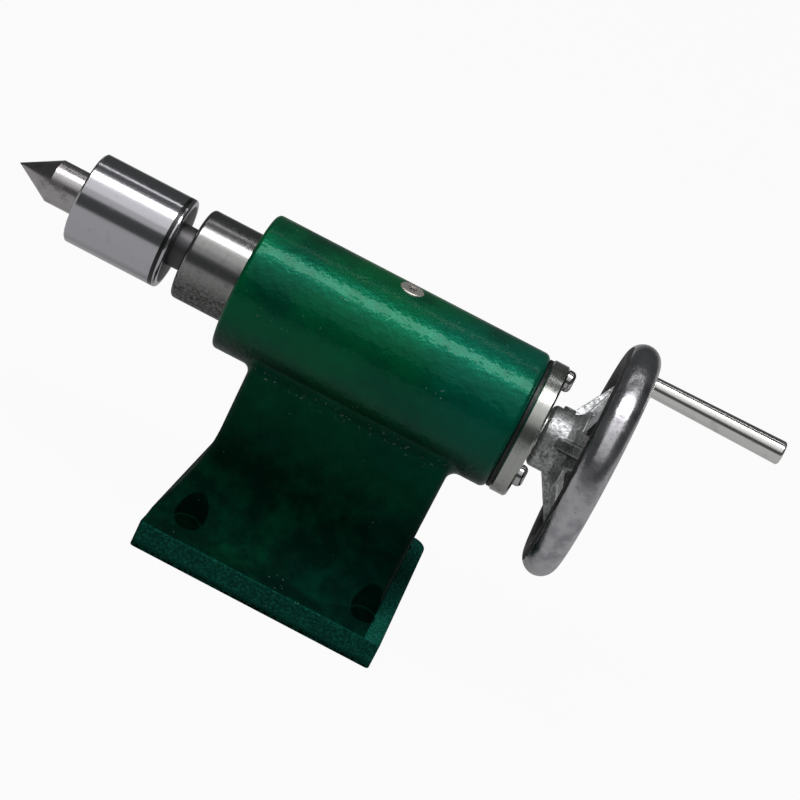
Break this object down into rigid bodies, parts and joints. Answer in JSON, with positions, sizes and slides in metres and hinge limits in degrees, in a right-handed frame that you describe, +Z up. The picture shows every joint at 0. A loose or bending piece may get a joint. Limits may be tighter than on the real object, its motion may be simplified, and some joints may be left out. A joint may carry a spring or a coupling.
{
  "type": "lathe tailstock",
  "caption": "Small lathe tailstock: flanged cast pedestal and barrel, sliding quill with a rotating centre, leadscrew, spoked handwheel and crank handle.",
  "frame": {"origin": "on the foot's underside, straight below the spindle axis and midway between the foot's ends", "axes": "+X along the spindle axis from the point to the handwheel, +Y to the back of the machine, +Z up from the bed"},
  "size_m": [0.3192, 0.1, 0.151],
  "materials": {
    "green_enamel": "gloss",
    "ground_steel": "ground",
    "turned_steel": "turned",
    "black_steel": "blackened",
    "chrome_plate": "polished",
    "bronze": "machined",
    "gasket": "matt",
    "black_rubber": "matt"
  },
  "bodies": {
    "base": {"housing": "green_enamel", "cap_gasket": "gasket", "bearing_cap": "turned_steel", "cap_screws": "chrome_plate", "thrust_washer": "bronze", "oiler_body": "turned_steel", "oiler_spring": "turned_steel", "key_screw": "black_steel"},
    "handwheel": {"leadscrew": "turned_steel", "hub_washer": "turned_steel", "handwheel": "chrome_plate", "wheel_key": "turned_steel", "hub_set_screw": "black_steel", "end_washer": "turned_steel", "end_nut": "turned_steel", "handle_pin": "black_steel"},
    "grip": {"handle_grip": "chrome_plate"},
    "quill": {"quill": "ground_steel", "leadscrew_nut": "bronze", "nut_screws": "black_steel", "centre_body": "ground_steel", "centre_seal_ring": "black_rubber", "centre_front_ring": "black_steel", "centre_bearing_ring": "ground_steel", "centre_bush": "bronze", "centre_thrust_washer": "bronze"},
    "point": {"centre_point": "ground_steel", "centre_clip": "black_steel"},
    "rollers": {"centre_rollers": "ground_steel", "centre_cage": "bronze"},
    "oiler_ball": {"oiler_ball": "ground_steel"}
  },
  "joints": [
    {"name": "handwheel_turn", "type": "hinge", "parent": "base", "child": "handwheel", "pos_m": [0, 0, 0.101], "axis": [-1, 0, 0], "range_deg": [-1440, 1980]},
    {"name": "quill_slide", "type": "slide", "parent": "base", "child": "quill", "axis": [-1, 0, 0], "range_m": [-0.0161, 0.0221]},
    {"name": "centre_spin", "type": "hinge", "parent": "quill", "child": "point", "pos_m": [0, 0, 0.101], "axis": [-1, 0, 0], "continuous": true},
    {"name": "rollers_orbit", "type": "hinge", "parent": "quill", "child": "rollers", "pos_m": [0, 0, 0.101], "axis": [-1, 0, 0], "continuous": true},
    {"name": "grip_spin", "type": "hinge", "parent": "handwheel", "child": "grip", "pos_m": [0.0993, 0.03479, 0.12627], "axis": [1, 0, 0], "continuous": true},
    {"name": "oiler_press", "type": "slide", "parent": "base", "child": "oiler_ball", "axis": [0, 0, -1], "range_m": [0, 0.0008], "stiffness_N_per_m": 600, "springref_m": -0.0008, "deforming": ["oiler_spring"]}
  ],
  "couplings": [
    {"joint": "quill_slide", "follows": "handwheel_turn", "m_per_rad": 0.00063662},
    {"joint": "rollers_orbit", "follows": "centre_spin", "ratio": 0.402}
  ]
}
